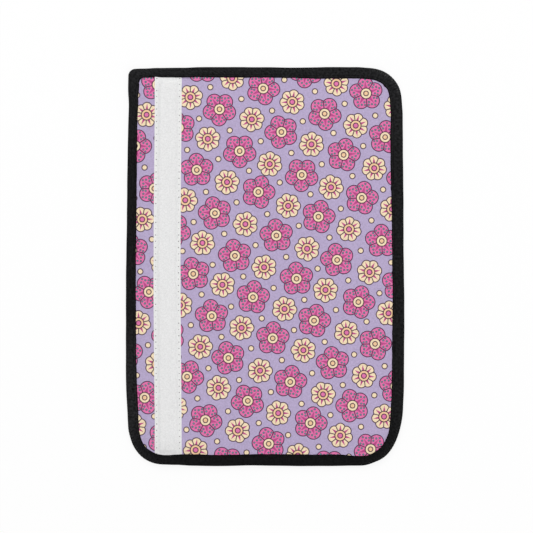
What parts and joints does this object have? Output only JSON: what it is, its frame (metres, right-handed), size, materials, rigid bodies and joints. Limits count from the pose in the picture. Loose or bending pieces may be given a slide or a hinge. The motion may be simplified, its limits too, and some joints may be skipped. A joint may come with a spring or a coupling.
{
  "type": "seat belt shoulder pad",
  "caption": "Flat padded sleeve for a seat belt, laid open: printed cover over foam, bound edge, soft loop strip in front and hook strip behind.",
  "frame": {"origin": "middle of the pad's plan, on the surface that the open pad lies on", "axes": "+X across the pad towards the hook strip's side, +Y along the belt, +Z out of the printed face"},
  "size_m": [0.177, 0.254, 0.0068],
  "materials": {
    "printed_fabric": "woven polyester, printed, matt",
    "foam": "open-cell foam",
    "lining_fabric": "plain woven polyester, matt",
    "binding_tape": "ribbed tape with a slight sheen",
    "loop_tape": "brushed soft loops on a woven tape",
    "hook_tape": "stiff nylon hooks on a woven tape",
    "white_thread": "twisted polyester sewing thread",
    "black_thread": "twisted polyester sewing thread"
  },
  "bodies": {
    "root": {"outer_cover": "printed_fabric", "foam_core": "foam", "inner_lining": "lining_fabric", "edge_binding": "binding_tape", "loop_strip": "loop_tape", "hook_strip": "hook_tape", "loop_strip_outer_seam": "white_thread", "loop_strip_inner_seam": "white_thread", "hook_strip_outer_seam": "white_thread", "hook_strip_inner_seam": "white_thread", "binding_top_seam": "black_thread", "binding_under_seam": "black_thread"}
  },
  "joints": []
}
